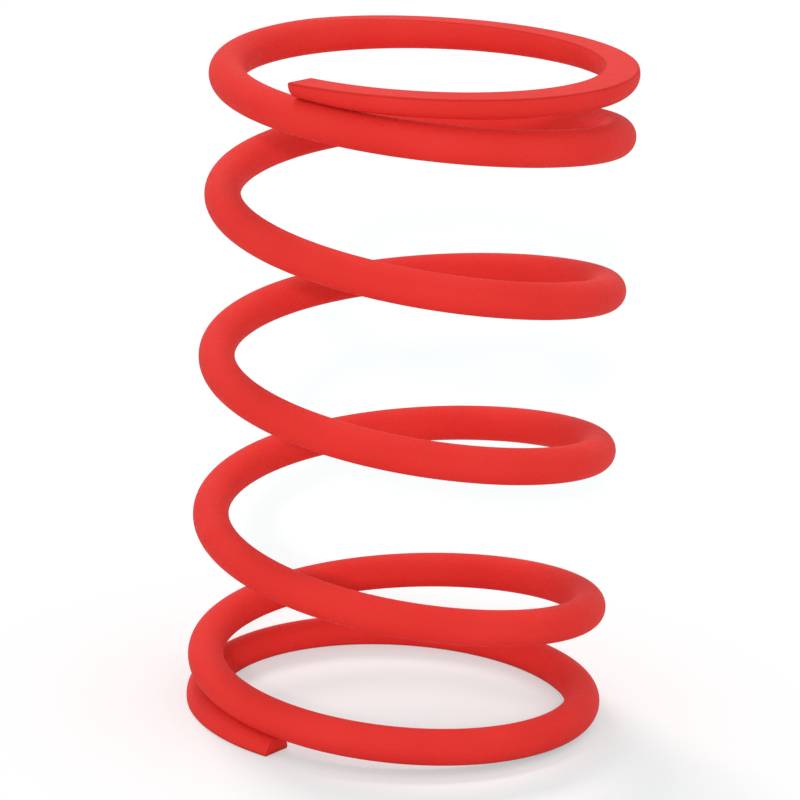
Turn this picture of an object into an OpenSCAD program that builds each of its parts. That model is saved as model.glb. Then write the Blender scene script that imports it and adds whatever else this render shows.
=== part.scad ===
// Clutch spring: one length of round wire coiled into a compression spring,
// with both end turns closed and ground flat. It stands on its lower ground face.

/* [Wire] */
// Diameter of the round wire
wire_d = 5.0; // [3:0.1:7]

/* [Coil] */
// Clear diameter inside the turns, where the hub passes
inner_d = 48.5; // [36:0.5:70]
// Height of the free spring between its two ground faces
free_length = 93.5; // [70:0.5:140]
// Whole turns of wire from tip to tip
whole_turns = 6; // [5:1:7]
// Angle that the wire turns on past its whole turns
extra_angle = 2; // [0:0.5:359.5]
// Hand of the coil
hand = "left"; // [left, right]
// Direction of the lower tip seen from above, counter-clockwise from +X
tip_angle = 234.5; // [0:0.5:359.5]

/* [Upper end] */
// Turns at the tip that keep the closed pitch
upper_closed_turns = 0.45; // [0.3:0.01:0.7]
// Turns over which the pitch then opens
upper_opening_turns = 1.29; // [0.9:0.01:1.6]

/* [Lower end] */
// Turns at the tip that keep the closed pitch
lower_closed_turns = 0.54; // [0.3:0.01:0.7]
// Turns over which the pitch then opens
lower_opening_turns = 1.09; // [0.9:0.01:1.6]

/* [Tips] */
// Thickness of wire that grinding leaves at each tip
tip_thickness = 2.3; // [1.5:0.1:3]
// Turns at each tip that lie against the next turn
contact_turns = 0.05; // [0:0.01:0.15]
// Clearance between each tip and the turn it lies against
tip_gap = 0.1; // [0.05:0.05:0.5]

/* [Smoothness] */
// Flats around the wire
wire_sides = 16; // [12:2:20]
// Wire sections in each turn
sections_per_turn = 48; // [36:4:60]

/* [Hidden] */

wire_r = wire_d / 2;
coil_r = inner_d / 2 + wire_r;
outer_d = inner_d + 2 * wire_d;
total_turns = whole_turns + extra_angle / 360;
half_turns = total_turns / 2;
turn_sign = hand == "left" ? -1 : 1;

// At the tips the wire's centre line lies this far inside the ground faces.
tip_inset = tip_thickness - wire_r;
// Distance between the centre lines of a tip and the turn it lies against.
contact_rise = wire_d + tip_gap;

// Each end is a pair: turns at the closed pitch, then turns over which it opens.
upper_end = [upper_closed_turns, upper_opening_turns];
lower_end = [lower_closed_turns, lower_opening_turns];

// Turns that count at the full pitch among the first u turns from a tip:
// none while the pitch stays closed, a growing share while it opens, then all.
function open_turns(u, end) =
    pow(min(max(u - end[0], 0), end[1]), 2) / (2 * end[1]) + max(u - end[0] - end[1], 0);

// The same over the one turn that starts where the contact ends, and from the
// first turn to the middle of the spring.
function contact_open(end) = open_turns(1 + contact_turns, end) - open_turns(contact_turns, end);
function middle_open(end) = open_turns(half_turns, end) - open_turns(1, end);

// The pitches follow from two conditions: over the turn that starts where the
// contact ends the wire rises by contact_rise, and both ends add up to free_length.
function closed_share(end) = (half_turns - 1 - middle_open(end)) / (1 - contact_open(end));
function open_share(end) = middle_open(end) - contact_open(end) * closed_share(end);
closed_height = 2 * (tip_inset + contact_rise)
    + contact_rise * (closed_share(upper_end) + closed_share(lower_end));
active_pitch = (free_length - closed_height) / (open_share(upper_end) + open_share(lower_end));
function closed_pitch(end) =
    (contact_rise - active_pitch * contact_open(end)) / (1 - contact_open(end));

// Rise of the wire over u turns from its tip, if no other turn were in its way.
function free_rise(u, end) =
    let (opened = open_turns(u, end))
    closed_pitch(end) * (u - opened) + active_pitch * opened;

// Distance of the centre line from the ground face, u turns from the tip. Along
// the contact, the next turn holds the wire back by contact_rise.
function end_height(u, end) =
    tip_inset + contact_rise - free_rise(1, end)
        + min(free_rise(u, end), free_rise(u + 1, end) - contact_rise);

// Height of the centre line, u turns above the lower tip.
function wire_z(u) = u < half_turns
    ? end_height(u, lower_end)
    : free_length - end_height(total_turns - u, upper_end);

function wire_angle(u) = tip_angle + turn_sign * 360 * u;
function outward(u) = [cos(wire_angle(u)), sin(wire_angle(u)), 0];
function centre(u) = coil_r * outward(u) + [0, 0, wire_z(u)];

// Direction of the wire, from the rise over a short stretch.
function along(u, du = 1e-3) =
    let (
        a = wire_angle(u),
        run = 2 * PI * coil_r * turn_sign,
        rise = (wire_z(u + du) - wire_z(u - du)) / (2 * du)
    )
    [-run * sin(a), run * cos(a), rise] / norm([run, rise]);

// Ring of points round the wire, square to its direction, first point outermost.
function section(u) =
    let (middle = centre(u), out = outward(u), side = cross(along(u), out))
    [for (j = [0 : wire_sides - 1])
        let (a = 360 * j / wire_sides) middle + wire_r * (cos(a) * out + sin(a) * side)];

spans = ceil(total_turns * sections_per_turn);
wire_points = [for (i = [0 : spans]) each section(total_turns * i / spans)];

function point_index(i, j) = i * wire_sides + j % wire_sides;
wire_faces = concat(
    [[for (j = [0 : wire_sides - 1]) point_index(0, j)]],
    [for (i = [0 : spans - 1], j = [0 : wire_sides - 1]) each [
        [point_index(i, j), point_index(i + 1, j), point_index(i + 1, j + 1)],
        [point_index(i, j), point_index(i + 1, j + 1), point_index(i, j + 1)]]],
    [[for (j = [wire_sides - 1 : -1 : 0]) point_index(spans, j)]]);

module coiled_wire() {
    polyhedron(points = wire_points, faces = wire_faces);
}

// What two grinding wheels leave: everything between the ground faces.
module between_ground_faces() {
    translate([-outer_d, -outer_d, 0])
        cube([2 * outer_d, 2 * outer_d, free_length]);
}

module spring() {
    color("#e63a35")
        intersection() {
            coiled_wire();
            between_ground_faces();
        }
}

spring();
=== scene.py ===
import math

import bpy
from mathutils import Matrix, Vector


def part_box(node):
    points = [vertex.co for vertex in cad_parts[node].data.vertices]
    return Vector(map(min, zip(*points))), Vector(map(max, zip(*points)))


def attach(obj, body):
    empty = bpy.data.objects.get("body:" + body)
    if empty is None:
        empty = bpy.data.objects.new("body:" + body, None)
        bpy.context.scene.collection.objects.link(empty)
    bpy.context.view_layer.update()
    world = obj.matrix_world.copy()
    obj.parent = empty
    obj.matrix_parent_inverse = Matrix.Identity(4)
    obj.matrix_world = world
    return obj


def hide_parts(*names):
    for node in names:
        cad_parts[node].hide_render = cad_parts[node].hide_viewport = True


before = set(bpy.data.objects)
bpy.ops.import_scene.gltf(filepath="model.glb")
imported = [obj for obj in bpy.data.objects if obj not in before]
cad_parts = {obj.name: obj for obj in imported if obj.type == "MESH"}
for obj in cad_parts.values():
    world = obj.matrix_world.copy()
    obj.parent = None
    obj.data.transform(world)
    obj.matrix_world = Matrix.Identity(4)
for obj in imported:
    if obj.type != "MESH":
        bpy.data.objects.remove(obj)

# A clutch spring: one length of round wire, coiled left-hand, with both end turns closed and
# ground flat, painted red all over. It stands on its lower ground face. Lengths are in metres.
MM = 0.001
QUARTER_TURN = math.pi / 2
FULL_TURN = 2 * math.pi

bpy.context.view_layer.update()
spring_low, spring_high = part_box("spring")

# The wire and its coil
WIRE_D = 5.0 * MM
FREE_LENGTH = spring_high.z - spring_low.z
COIL_D = spring_high.x - spring_low.x - WIRE_D
TURNS = 6 + 2 / 360
TIP_ANGLE = math.radians(234.5)

# Its two ends: turns at the closed pitch, then turns over which the pitch opens
UPPER_CLOSED_TURNS = 0.45
UPPER_OPENING_TURNS = 1.29
LOWER_CLOSED_TURNS = 0.54
LOWER_OPENING_TURNS = 1.09

# Its tips: ground thin, and lying against the next turn for a short way
TIP_THICKNESS = 2.3 * MM
CONTACT_TURNS = 0.05
TIP_GAP = 0.1 * MM
TIP_INSET = TIP_THICKNESS - WIRE_D / 2
CONTACT_RISE = WIRE_D + TIP_GAP

# Edges as the paint leaves them: round along the ground faces, tighter at the two cut tips. A
# narrow band on the face beside each edge takes up its bend, and the face inside it looks flat.
# Where a face runs out, the band takes no more than a share of the half width that is left.
GROUND_EDGE_R = 0.26 * MM
CUT_EDGE_R = 0.18 * MM
EDGE_BAND = 0.12 * MM
BAND_SHARE = 0.5
# A point counts as ground once the wheel has taken this depth off it.
GROUND_DEPTH = 0.026 * MM

# Fineness of the wire's mesh. With two sides more than a multiple of four, no row of points lies
# on the middle line of a ground face.
WIRE_SECTIONS = 800
WIRE_SIDES = 90
CUT_EDGE_STEPS = 5

# Paint: its reds, the deeper red along the edges, which is partly thinner paint and partly painted shade,
# and its low sheen
RED = (0.800, 0.042, 0.034)
DEEP_RED = (0.762, 0.036, 0.029)
# Along the edges of the ground faces and the cut tips the red is darker: partly thinner paint, partly
# painted shade.
THIN_PAINT_AND_SHADE_RED = (0.510, 0.016, 0.012)
THIN_PAINT_AND_SHADE_SHARE = 0.55
PAINT_ROUGHNESS = 0.64
PAINT_SPECULAR = 0.08

# What is uneven in it: the size of each noise, its levels of finer detail, and what it changes.
# A noise runs from 0 to 1, and is taken about its middle.
NOISE_MIDDLE = 0.5
# Clouds turn the red deeper: by this share at the noise's middle, and from 0 to 1 over the spread.
CLOUD_SIZE = 14.0 * MM
CLOUD_DETAIL = 2.0
CLOUD_SHARE = 0.5
CLOUD_SPREAD = 0.3
# Orange peel, and the grain on it
PEEL_SIZE = 1.6 * MM
PEEL_DETAIL = 2.0
PEEL_DEPTH = 0.17 * MM
PEEL_ROUGHNESS = 0.096
GRAIN_SIZE = 0.3 * MM
GRAIN_DETAIL = 1.0
GRAIN_DEPTH = 0.084 * MM
GRAIN_ROUGHNESS = 0.064
# Grinding leaves straight marks on the flats, and takes this share of the other relief off them.
GRINDING_SIZE = (17.0 * MM, 0.65 * MM, 17.0 * MM)
GRINDING_DETAIL = 3.0
GRINDING_DEPTH = 0.10 * MM
GROUND_SMOOTHING = 0.7

# Stage: levels are what a white matte surface shows
WHITE = (1.0, 1.0, 1.0)
FLOOR_SIZE = 6.0
FLOOR_DROP = 0.02 * MM
FLOOR_COLOUR = (0.80, 0.60, 0.60)
FLOOR_LIFT = (0.172, 0.399, 0.399)
SKY_LEVEL = 0.75
# Far lamps: degrees round to the right from the viewer, degrees up, width in degrees, and level
LAMPS = {
    "camera_lamp": {"turn": -3.0, "lift": 18.5, "spread": 2.3, "level": 0.25},
    "back_lamp": {"turn": 205.0, "lift": 62.0, "spread": 14.0, "level": 0.26},
}

# Camera, as the spring is pictured: in front, a little above, with a slight lean. The lens is in
# millimetres, as Blender takes it.
CAMERA_ELEVATION = math.radians(15.99)
CAMERA_DISTANCE = 560.1 * MM
CAMERA_ROLL = math.radians(2.863)
CAMERA_LENS = 181.52
CAMERA_AIM = Vector((-1.09, 0.0, 44.71)) * MM


class Field:
    """A value in a node tree. Arithmetic on fields adds Math nodes to the tree."""

    def __init__(self, tree, socket):
        self.tree = tree
        self.socket = socket

    def apply(self, operation, *others):
        return calculate(self.tree, operation, self, *others)

    def __add__(self, other):
        return self.apply("ADD", other)

    def __sub__(self, other):
        return self.apply("SUBTRACT", other)

    def __rsub__(self, other):
        return calculate(self.tree, "SUBTRACT", other, self)

    def __mul__(self, other):
        return self.apply("MULTIPLY", other)

    def __truediv__(self, other):
        return self.apply("DIVIDE", other)

    def __rtruediv__(self, other):
        return calculate(self.tree, "DIVIDE", other, self)

    def __neg__(self):
        return 0 - self

    def __abs__(self):
        return self.apply("ABSOLUTE")

    def at_least(self, other):
        return self.apply("MAXIMUM", other)

    def at_most(self, other):
        return self.apply("MINIMUM", other)

    def within(self, low, high):
        return self.at_least(low).at_most(high)

    def below(self, other):
        return self.apply("LESS_THAN", other)

    def above(self, other):
        return self.apply("GREATER_THAN", other)

    def sin(self):
        return self.apply("SINE")

    def cos(self):
        return self.apply("COSINE")

    def root(self):
        return self.at_least(0).apply("SQRT")

    def sign(self):
        return self.apply("SIGN")

    def towards(self, other, share):
        """This value where share is 0, the other where share is 1."""
        return self + (other - self) * share


def calculate(tree, operation, *values):
    """A Math node on fields and plain numbers, as a field."""
    node = tree.nodes.new("ShaderNodeMath")
    node.operation = operation
    for entry, value in zip(node.inputs, values):
        feed(tree, entry, value)
    return Field(tree, node.outputs[0])


def feed(tree, entry, value):
    """Links a field to a node's input, or sets the input to a plain value."""
    if isinstance(value, Field):
        tree.links.new(value.socket, entry)
    else:
        entry.default_value = value


def add_node(tree, kind, settings=None, **inputs):
    """Adds a node, with its settings and its inputs given by name."""
    node = tree.nodes.new(kind)
    for name, value in (settings or {}).items():
        setattr(node, name, value)
    for name, value in inputs.items():
        feed(tree, node.inputs[name.replace("_", " ")], value)
    return node


def add_field(tree, kind, settings=None, output=0, **inputs):
    """Adds a node in the same way, and gives one of its outputs as a field."""
    return Field(tree, add_node(tree, kind, settings, **inputs).outputs[output])


def new_geometry_tree(name, inputs, outputs):
    """An empty tree with named sockets, its inputs as fields by name, and its output node."""
    tree = bpy.data.node_groups.new(name, "GeometryNodeTree")
    for label, kind in inputs.items():
        tree.interface.new_socket(label, in_out="INPUT", socket_type=kind)
    for label, kind in outputs.items():
        tree.interface.new_socket(label, in_out="OUTPUT", socket_type=kind)
    entry = tree.nodes.new("NodeGroupInput")
    fields = {label: Field(tree, entry.outputs[label]) for label in inputs}
    return tree, fields, tree.nodes.new("NodeGroupOutput")


class CoilEnd:
    """One end of the coil. The wire keeps a closed pitch, opens, and then has the full pitch."""

    def __init__(self, closed_turns, opening_turns):
        self.closed_turns = closed_turns
        self.opening_turns = opening_turns
        self.contact_open = self.open_turns(1 + CONTACT_TURNS) - self.open_turns(CONTACT_TURNS)
        self.middle_open = self.open_turns(TURNS / 2) - self.open_turns(1)
        self.closed_share = (TURNS / 2 - 1 - self.middle_open) / (1 - self.contact_open)
        self.open_share = self.middle_open - self.contact_open * self.closed_share

    def open_turns(self, turns):
        """Turns that count at the full pitch among the first ones from the tip."""
        past_closed = turns - self.closed_turns
        ramp = min(max(past_closed, 0), self.opening_turns)
        return ramp ** 2 / (2 * self.opening_turns) + max(past_closed - self.opening_turns, 0)

    def set_pitch(self, active_pitch):
        """Over the turn that starts where the tip's contact ends, the wire clears itself."""
        self.closed_pitch = (CONTACT_RISE - active_pitch * self.contact_open) / (1 - self.contact_open)
        first = self.open_turns(1)
        self.tip_hold = CONTACT_RISE - self.closed_pitch * (1 - first) - active_pitch * first

    def sizes(self):
        """What the coil's tree takes for this end."""
        return {
            "Closed Turns": self.closed_turns,
            "Opening Turns": self.opening_turns,
            "Closed Pitch": self.closed_pitch,
            "Tip Hold": self.tip_hold,
        }


def coil_ends():
    """Both ends with their pitches, and the full pitch, which makes them add up to the free length."""
    ends = {
        "Upper": CoilEnd(UPPER_CLOSED_TURNS, UPPER_OPENING_TURNS),
        "Lower": CoilEnd(LOWER_CLOSED_TURNS, LOWER_OPENING_TURNS),
    }
    closed_turns = 2 + sum(end.closed_share for end in ends.values())
    open_turns = sum(end.open_share for end in ends.values())
    active_pitch = (FREE_LENGTH - 2 * TIP_INSET - CONTACT_RISE * closed_turns) / open_turns
    for end in ends.values():
        end.set_pitch(active_pitch)
    return ends, active_pitch


# What the tree of one end takes: sizes of that end alone, and sizes that both ends share
END_SIZES = ("Closed Turns", "Opening Turns", "Closed Pitch", "Tip Hold")
SHARED_SIZES = ("Active Pitch", "Tip Inset", "Contact Rise")


def end_height_tree():
    """Height and pitch of the wire at some turns from a tip. Near the tip the next turn holds it."""
    tree, given, out = new_geometry_tree(
        "end_height",
        dict.fromkeys(("Turns", *END_SIZES, *SHARED_SIZES), "NodeSocketFloat"),
        dict.fromkeys(("Height", "Pitch"), "NodeSocketFloat"),
    )
    opening, closed_pitch, active_pitch = (
        given["Opening Turns"], given["Closed Pitch"], given["Active Pitch"])

    def free_wire(turns):
        """Rise and pitch if no other turn were in the way."""
        past_closed = turns - given["Closed Turns"]
        ramp = past_closed.within(0, opening)
        opened = ramp * ramp / (opening * 2) + (past_closed - opening).at_least(0)
        rise = closed_pitch * (turns - opened) + active_pitch * opened
        return rise, closed_pitch.towards(active_pitch, ramp / opening)

    rise, pitch = free_wire(given["Turns"])
    next_rise, next_pitch = free_wire(given["Turns"] + 1)
    held_rise = next_rise - given["Contact Rise"]
    height = given["Tip Inset"] + given["Tip Hold"] + rise.at_most(held_rise)
    feed(tree, out.inputs["Height"], height)
    feed(tree, out.inputs["Pitch"], pitch.towards(next_pitch, held_rise.below(rise)))
    return tree


def spread_sections(given, sections_up, coil_r):
    """Places the wire's sections along the coil, counted from the lower tip, and rounds both cuts.

    Near a cut tip the sections lie close together, and their edge is turned in by a quarter round.
    The outermost section lies on the cut face itself, drawn in by the edge band. Gives the turns up
    to each section, how far its skin is turned in, how far it is drawn in, and the mark of the edge.
    """
    from_low, from_high = sections_up - 1, given["Sections"] - sections_up - 1
    low_angle = (from_low / CUT_EDGE_STEPS).within(0, 1) * QUARTER_TURN
    high_angle = (from_high / CUT_EDGE_STEPS).within(0, 1) * QUARTER_TURN
    cut_angle = low_angle.at_most(high_angle)
    on_cut_face = from_low.at_most(from_high).below(0)

    cut_turns = given["Cut Edge Radius"] / (coil_r * FULL_TURN)
    even_sections = given["Sections"] - 2 * (CUT_EDGE_STEPS + 1)
    even_share = ((from_low - CUT_EDGE_STEPS) / even_sections).within(0, 1)
    turn = (
        even_share * (given["Turns"] - cut_turns * 2)
        + cut_turns * (1 - low_angle.cos())
        + cut_turns * high_angle.cos()
    )
    turned_in = given["Cut Edge Radius"] * (1 - cut_angle.sin())
    drawn_in = given["Edge Band"] * on_cut_face
    return turn, turned_in, drawn_in, (1 - cut_angle / QUARTER_TURN) * (1 - on_cut_face)


def centre_line(tree, given, turn, coil_r):
    """Height and slope of the wire's centre line, where each half follows its own end."""
    height_group = end_height_tree()
    halves = []
    for end, turns_from_tip in (("Lower", turn), ("Upper", given["Turns"] - turn)):
        node = add_node(
            tree, "GeometryNodeGroup", {"node_tree": height_group},
            Turns=turns_from_tip,
            **{size: given[f"{end} {size}"] for size in END_SIZES},
            **{size: given[size] for size in SHARED_SIZES},
        )
        halves.append([Field(tree, socket) for socket in node.outputs])
    (low_height, low_pitch), (high_height, high_pitch) = halves
    upper_half = turn.above(given["Turns"] / 2)
    height = low_height.towards(given["Free Length"] - high_height, upper_half)
    pitch = low_pitch.towards(high_pitch, upper_half)
    return height, (pitch / (coil_r * FULL_TURN)).apply("ARCTANGENT")


def ground_section(given, across, upright, height, slope, turned_in, drawn_in):
    """The round wire cut by the ground face it meets, with that edge rounded.

    It is a smaller cut round, grown by the edge radius. On a ground face, the rows next to its
    middle line run along its edge, a band's width in. Gives how far each point lies outwards and
    upwards from the centre line, and the marks of the ground face and of its edge.
    """
    edge_r = given["Ground Edge Radius"]
    margin = edge_r + drawn_in
    core_r = given["Wire Diameter"] / 2 - margin
    room_above = ((given["Free Length"] - height) / slope.cos() - margin).at_most(core_r)
    room_below = (height / slope.cos() - margin).at_most(core_r)
    round_rise = core_r * upright
    core_rise = round_rise.at_most(room_above).at_least(-room_below)
    core_half = (core_r * core_r - core_rise * core_rise).root()
    ground = (abs(round_rise - core_rise) / given["Ground Depth"]).at_most(1)

    inner_row = abs(across).below((FULL_TURN / given["Sides"]).sin())
    on_flat = ground * inner_row
    band = given["Edge Band"].at_most(core_half * BAND_SHARE)
    skin = edge_r - turned_in
    wire_out = across.sign() * (core_half - on_flat * band) + skin * across * (1 - on_flat)
    wire_up = core_rise + skin * upright.towards(upright.sign(), on_flat)
    return wire_out, wire_up, ground, ground * (1 - inner_row)


SOCKET_KINDS = {
    float: "NodeSocketFloat",
    int: "NodeSocketInt",
    bpy.types.Material: "NodeSocketMaterial",
}


def coil_tree(sizes):
    """Bends a straight round bar into the coil and grinds its ends, with an input for each size.

    The bar has unit radius and length: across it lie the directions round the wire, and along it
    the wire's sections from the lower tip to the upper one.
    """
    kinds = {name: SOCKET_KINDS[type(value)] for name, value in sizes.items()}
    tree, given, out = new_geometry_tree("ground_coil", kinds, {"Geometry": "NodeSocketGeometry"})
    bar_length = 1.0
    bar = add_field(
        tree, "GeometryNodeMeshCylinder", {"fill_type": "NGON"},
        Vertices=given["Sides"], Side_Segments=given["Sections"], Radius=1.0, Depth=bar_length,
    )
    position = add_field(tree, "GeometryNodeInputPosition")
    place = add_node(tree, "ShaderNodeSeparateXYZ", Vector=position)
    across, upright, along = (Field(tree, socket) for socket in place.outputs)
    sections_up = ((along + bar_length / 2) * given["Sections"]).apply("ROUND")

    coil_r = given["Coil Diameter"] / 2
    turn, turned_in, drawn_in, cut_edge = spread_sections(given, sections_up, coil_r)
    height, slope = centre_line(tree, given, turn, coil_r)
    wire_out, wire_up, ground, ground_edge = ground_section(
        given, across, upright, height, slope, turned_in, drawn_in)

    # The left-hand coil turns clockwise as it rises.
    angle = given["Tip Angle"] - turn * FULL_TURN
    reach = coil_r + wire_out
    lean = wire_up * slope.sin()
    spot = add_field(
        tree, "ShaderNodeCombineXYZ",
        X=reach * angle.cos() - lean * angle.sin(),
        Y=reach * angle.sin() + lean * angle.cos(),
        Z=height + wire_up * slope.cos(),
    )

    # The edge mark is where the paint is made darker: partly thinner paint, partly painted shade.
    marked = bar
    for name, value in (("edge", ground_edge.at_least(cut_edge)), ("ground", ground)):
        marked = add_field(
            tree, "GeometryNodeStoreNamedAttribute", {"data_type": "FLOAT", "domain": "POINT"},
            Geometry=marked, Name=name, Value=value,
        )
    bent = add_field(tree, "GeometryNodeSetPosition", Geometry=marked, Position=spot)
    smooth = add_field(tree, "GeometryNodeSetShadeSmooth", Geometry=bent)
    solid = add_field(tree, "GeometryNodeRealizeInstances", Geometry=smooth)
    painted = add_field(tree, "GeometryNodeSetMaterial", Geometry=solid, Material=given["Paint"])
    feed(tree, out.inputs["Geometry"], painted)
    return tree


def opaque(colour):
    return (*colour, 1.0)


def new_material(name):
    """A material with an empty node tree."""
    material = bpy.data.materials.new(name)
    material.use_nodes = True
    material.node_tree.nodes.clear()
    return material, material.node_tree


def red_paint():
    """Low-sheen red paint with orange peel and a fine grain, uneven in depth, darker along edges.

    It is smoother on the ground faces, where the marks of grinding show faintly through it. The darker
    edges are partly thinner paint and partly painted shade.
    """
    material, tree = new_material("red_paint")
    spot = add_field(tree, "ShaderNodeTexCoord", output="Object")

    def noise(size, detail):
        """Soft noise of a size along X, Y and Z, above and below 0."""
        place = add_field(tree, "ShaderNodeMapping", Vector=spot, Scale=[1 / length for length in size])
        level = add_field(tree, "ShaderNodeTexNoise", output="Fac", Vector=place, Scale=1.0, Detail=detail)
        return level - NOISE_MIDDLE

    def mark(name):
        """A mark that the coil's tree left on the mesh."""
        return add_field(tree, "ShaderNodeAttribute", {"attribute_name": name}, output="Fac")

    def mixed(share, first, second):
        """The first colour where share is 0, the second where share is 1."""
        node = add_node(tree, "ShaderNodeMix", {"data_type": "RGBA"})
        sockets = {socket.identifier: socket for socket in (*node.inputs, *node.outputs)}
        feed(tree, sockets["Factor_Float"], share)
        feed(tree, sockets["A_Color"], first)
        feed(tree, sockets["B_Color"], second)
        return Field(tree, sockets["Result_Color"])

    clouds = noise([CLOUD_SIZE] * 3, CLOUD_DETAIL)
    peel = noise([PEEL_SIZE] * 3, PEEL_DETAIL)
    grain = noise([GRAIN_SIZE] * 3, GRAIN_DETAIL)
    ground = mark("ground")
    grinding = noise(GRINDING_SIZE, GRINDING_DETAIL) * ground

    depth = (clouds / CLOUD_SPREAD + CLOUD_SHARE).within(0, 1)
    coat = mixed(depth, opaque(RED), opaque(DEEP_RED))
    skin = (peel * PEEL_DEPTH + grain * GRAIN_DEPTH) * (1 - ground * GROUND_SMOOTHING)
    # The height is in metres, so a distance of 1 shows it as it is.
    bump = add_field(tree, "ShaderNodeBump", Distance=1.0, Height=skin + grinding * GRINDING_DEPTH)
    shader = add_field(
        tree, "ShaderNodeBsdfPrincipled",
        # Darker along the edges: partly thinner paint, partly painted shade.
        Base_Color=mixed(mark("edge") * THIN_PAINT_AND_SHADE_SHARE, coat, opaque(THIN_PAINT_AND_SHADE_RED)),
        Roughness=peel * PEEL_ROUGHNESS + grain * GRAIN_ROUGHNESS + PAINT_ROUGHNESS,
        Specular_IOR_Level=PAINT_SPECULAR,
        Normal=bump,
    )
    add_node(tree, "ShaderNodeOutputMaterial", Surface=shader)
    return material


def coil_piece(paint):
    """The painted wire as a plain mesh, made by the coil's tree."""
    ends, active_pitch = coil_ends()
    sizes = {
        "Wire Diameter": WIRE_D,
        "Coil Diameter": COIL_D,
        "Free Length": FREE_LENGTH,
        "Turns": TURNS,
        "Tip Angle": TIP_ANGLE,
        "Tip Inset": TIP_INSET,
        "Contact Rise": CONTACT_RISE,
        "Active Pitch": active_pitch,
        "Ground Edge Radius": GROUND_EDGE_R,
        "Ground Depth": GROUND_DEPTH,
        "Cut Edge Radius": CUT_EDGE_R,
        "Edge Band": EDGE_BAND,
        "Sections": WIRE_SECTIONS,
        "Sides": WIRE_SIDES,
        "Paint": paint,
    }
    for name, end in ends.items():
        sizes.update({f"{name} {size}": value for size, value in end.sizes().items()})

    piece = bpy.data.objects.new("painted_wire", bpy.data.meshes.new("painted_wire"))
    bpy.context.scene.collection.objects.link(piece)
    modifier = piece.modifiers.new("coil", "NODES")
    modifier.node_group = coil_tree(sizes)
    for socket in modifier.node_group.interface.items_tree:
        if socket.in_out == "INPUT":
            modifier[socket.identifier] = sizes[socket.name]
    graph = bpy.context.evaluated_depsgraph_get()
    made = bpy.data.meshes.new_from_object(
        piece.evaluated_get(graph), preserve_all_data_layers=True, depsgraph=graph)
    piece.modifiers.remove(modifier)
    piece.data = made
    return piece


def seen_rays(tree):
    """1 for rays that show a surface as it is seen, straight or in a reflection, and 0 for light."""
    path = tree.nodes.new("ShaderNodeLightPath")
    camera, glossy, transmission = (
        Field(tree, path.outputs[f"Is {kind} Ray"]) for kind in ("Camera", "Glossy", "Transmission"))
    return camera.at_least(glossy).at_least(transmission)


def pale_floor():
    """White floor that keeps the spring's shadow.

    Its own colour is short of green and blue, which evens out the red glow under the spring. The
    lift makes it white again to the eye, and lights nothing.
    """
    material, tree = new_material("pale_floor")
    matte = add_field(tree, "ShaderNodeBsdfDiffuse", Color=opaque(FLOOR_COLOUR))
    lift = add_field(tree, "ShaderNodeEmission", Color=opaque(FLOOR_LIFT), Strength=seen_rays(tree))
    both = tree.nodes.new("ShaderNodeAddShader")
    for entry, shader in zip(both.inputs, (matte, lift)):
        feed(tree, entry, shader)
    add_node(tree, "ShaderNodeOutputMaterial", Surface=Field(tree, both.outputs[0]))

    half, z = FLOOR_SIZE / 2, spring_low.z - FLOOR_DROP
    corners = [(-half, -half, z), (half, -half, z), (half, half, z), (-half, half, z)]
    mesh = bpy.data.meshes.new("floor")
    mesh.from_pydata(corners, [], [(0, 1, 2, 3)])
    mesh.materials.append(material)
    floor = bpy.data.objects.new("floor", mesh)
    bpy.context.scene.collection.objects.link(floor)


def soft_lamp(name, turn, lift, spread, level):
    """A far lamp, some degrees to the right of the viewer and up, and some degrees wide."""
    turn, lift = math.radians(turn), math.radians(lift)
    towards = Vector((math.sin(turn) * math.cos(lift), -math.cos(turn) * math.cos(lift), math.sin(lift)))
    data = bpy.data.lights.new(name, "SUN")
    data.angle = math.radians(spread)
    data.energy = math.pi * level
    lamp = bpy.data.objects.new(name, data)
    lamp.rotation_euler = towards.to_track_quat("Z", "Y").to_euler()
    bpy.context.scene.collection.objects.link(lamp)


def studio_light():
    """An even white surround, a lamp near the camera and a softer one high behind the spring."""
    world = bpy.data.worlds.new("studio")
    world.use_nodes = True
    tree = world.node_tree
    sky = tree.nodes["Background"]
    feed(tree, sky.inputs["Color"], opaque(WHITE))
    feed(tree, sky.inputs["Strength"], seen_rays(tree) * (1 - SKY_LEVEL) + SKY_LEVEL)
    bpy.context.scene.world = world
    for name, lamp in LAMPS.items():
        soft_lamp(name, **lamp)


def photo_camera():
    """In front of the spring and a little above it, rolled so that the coil leans to the right."""
    level, lift = math.cos(CAMERA_ELEVATION), math.sin(CAMERA_ELEVATION)
    back = Vector((0.0, -level, lift))
    right, up = Vector((1.0, 0.0, 0.0)), Vector((0.0, lift, level))
    turn, hold = math.sin(CAMERA_ROLL), math.cos(CAMERA_ROLL)
    axes = Matrix((hold * right + turn * up, hold * up - turn * right, back)).transposed()
    data = bpy.data.cameras.new("camera")
    data.lens = CAMERA_LENS
    camera = bpy.data.objects.new("camera", data)
    camera.matrix_world = Matrix.Translation(CAMERA_AIM + CAMERA_DISTANCE * back) @ axes.to_4x4()
    bpy.context.scene.collection.objects.link(camera)
    bpy.context.scene.camera = camera


photo_camera()
studio_light()
pale_floor()
wire = coil_piece(red_paint())
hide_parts("spring")
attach(wire, "root")
bpy.context.scene.view_settings.view_transform = "Standard"
